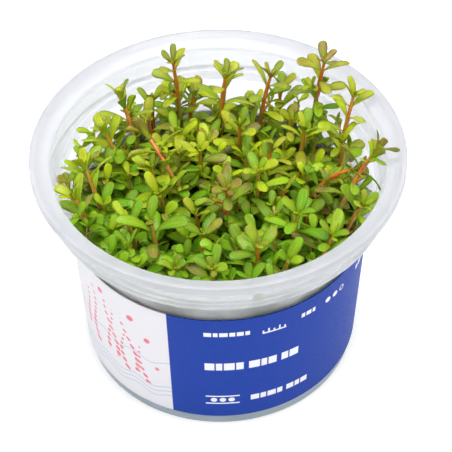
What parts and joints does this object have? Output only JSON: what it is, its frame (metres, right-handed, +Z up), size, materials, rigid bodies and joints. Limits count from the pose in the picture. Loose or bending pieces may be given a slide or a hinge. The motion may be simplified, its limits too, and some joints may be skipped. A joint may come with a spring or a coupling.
{
  "type": "potted rotala culture",
  "caption": "Rotala shoots with small paired oval leaves, rooted in gel in a round translucent plastic culture cup with a printed paper band.",
  "frame": {"origin": "centre of the cup's foot, on the surface that it stands on", "axes": "+Z up the cup's axis; -Y is the side from which the band shows its pale left part and dark right part"},
  "size_m": [0.1, 0.1, 0.0817],
  "materials": {
    "clear_plastic": "thin translucent milky polypropylene, softly glossy",
    "printed_paper": "smooth coated paper band, printed white on the left and dark blue on the right",
    "gel": "cloudy set gel",
    "rotala": "waxy leaves from yellow-green to deep green, olive and red-brown at the tips, on orange-red stems"
  },
  "bodies": {
    "root": {"cup": "clear_plastic", "printed_band": "printed_paper", "growing_gel": "gel", "rotala_shoot_01": "rotala", "rotala_shoot_02": "rotala", "rotala_shoot_03": "rotala", "rotala_shoot_04": "rotala", "rotala_shoot_05": "rotala", "rotala_shoot_06": "rotala", "rotala_shoot_07": "rotala", "rotala_shoot_08": "rotala", "rotala_shoot_09": "rotala", "rotala_shoot_10": "rotala", "rotala_shoot_11": "rotala", "rotala_shoot_12": "rotala", "rotala_shoot_13": "rotala", "rotala_shoot_14": "rotala", "rotala_shoot_15": "rotala", "rotala_shoot_16": "rotala", "rotala_shoot_17": "rotala", "rotala_shoot_18": "rotala", "rotala_shoot_19": "rotala", "rotala_shoot_20": "rotala", "rotala_shoot_21": "rotala", "rotala_shoot_22": "rotala", "rotala_shoot_23": "rotala", "rotala_shoot_24": "rotala", "rotala_shoot_25": "rotala", "rotala_shoot_26": "rotala", "rotala_shoot_27": "rotala", "rotala_shoot_28": "rotala", "rotala_shoot_29": "rotala", "rotala_shoot_30": "rotala", "rotala_shoot_31": "rotala", "rotala_shoot_32": "rotala", "rotala_shoot_33": "rotala", "rotala_shoot_34": "rotala", "rotala_shoot_35": "rotala", "rotala_shoot_36": "rotala", "rotala_shoot_37": "rotala", "rotala_shoot_38": "rotala", "rotala_shoot_39": "rotala", "rotala_shoot_40": "rotala", "rotala_shoot_41": "rotala", "rotala_shoot_42": "rotala", "rotala_shoot_43": "rotala", "rotala_shoot_44": "rotala", "rotala_shoot_45": "rotala", "rotala_shoot_46": "rotala", "rotala_shoot_47": "rotala", "rotala_shoot_48": "rotala", "rotala_shoot_49": "rotala", "rotala_shoot_50": "rotala", "rotala_shoot_51": "rotala", "rotala_shoot_52": "rotala", "rotala_shoot_53": "rotala", "rotala_shoot_54": "rotala"}
  },
  "joints": []
}
